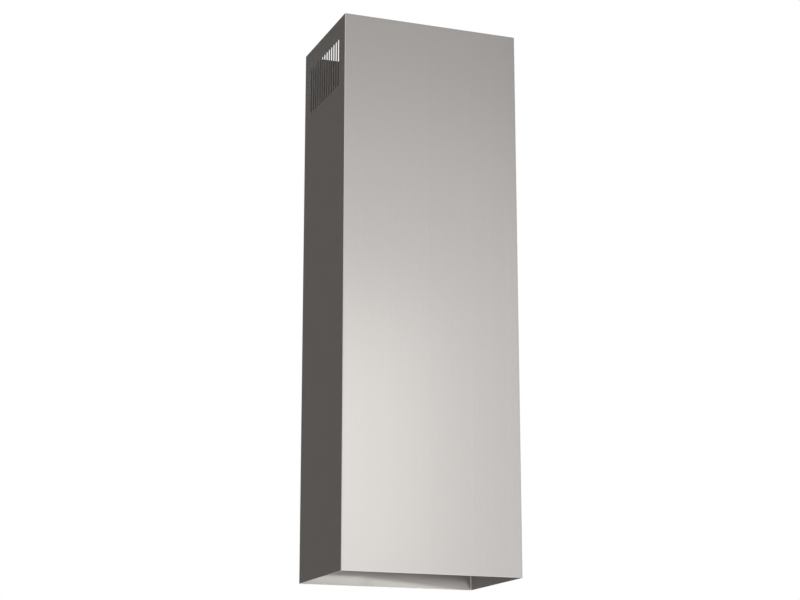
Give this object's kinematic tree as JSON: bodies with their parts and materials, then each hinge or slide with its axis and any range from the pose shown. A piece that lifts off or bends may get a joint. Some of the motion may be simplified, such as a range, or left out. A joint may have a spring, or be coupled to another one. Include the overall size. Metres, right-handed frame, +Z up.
{
  "type": "cooker hood chimney section",
  "caption": "Tall rectangular chimney sleeve of folded brushed stainless sheet, open at both ends, with upright vent slots high in its side walls; hides and airs a cooker hood's duct.",
  "frame": {"origin": "middle of the bottom rim", "axes": "+Z up along the sleeve, the front wall faces -Y, +X to the right seen from the front"},
  "size_m": [0.333, 0.23, 1],
  "materials": {
    "brushed_sheet": "fine brushed, satin"
  },
  "bodies": {
    "root": {"chimney_sleeve": "brushed_sheet"}
  },
  "joints": []
}
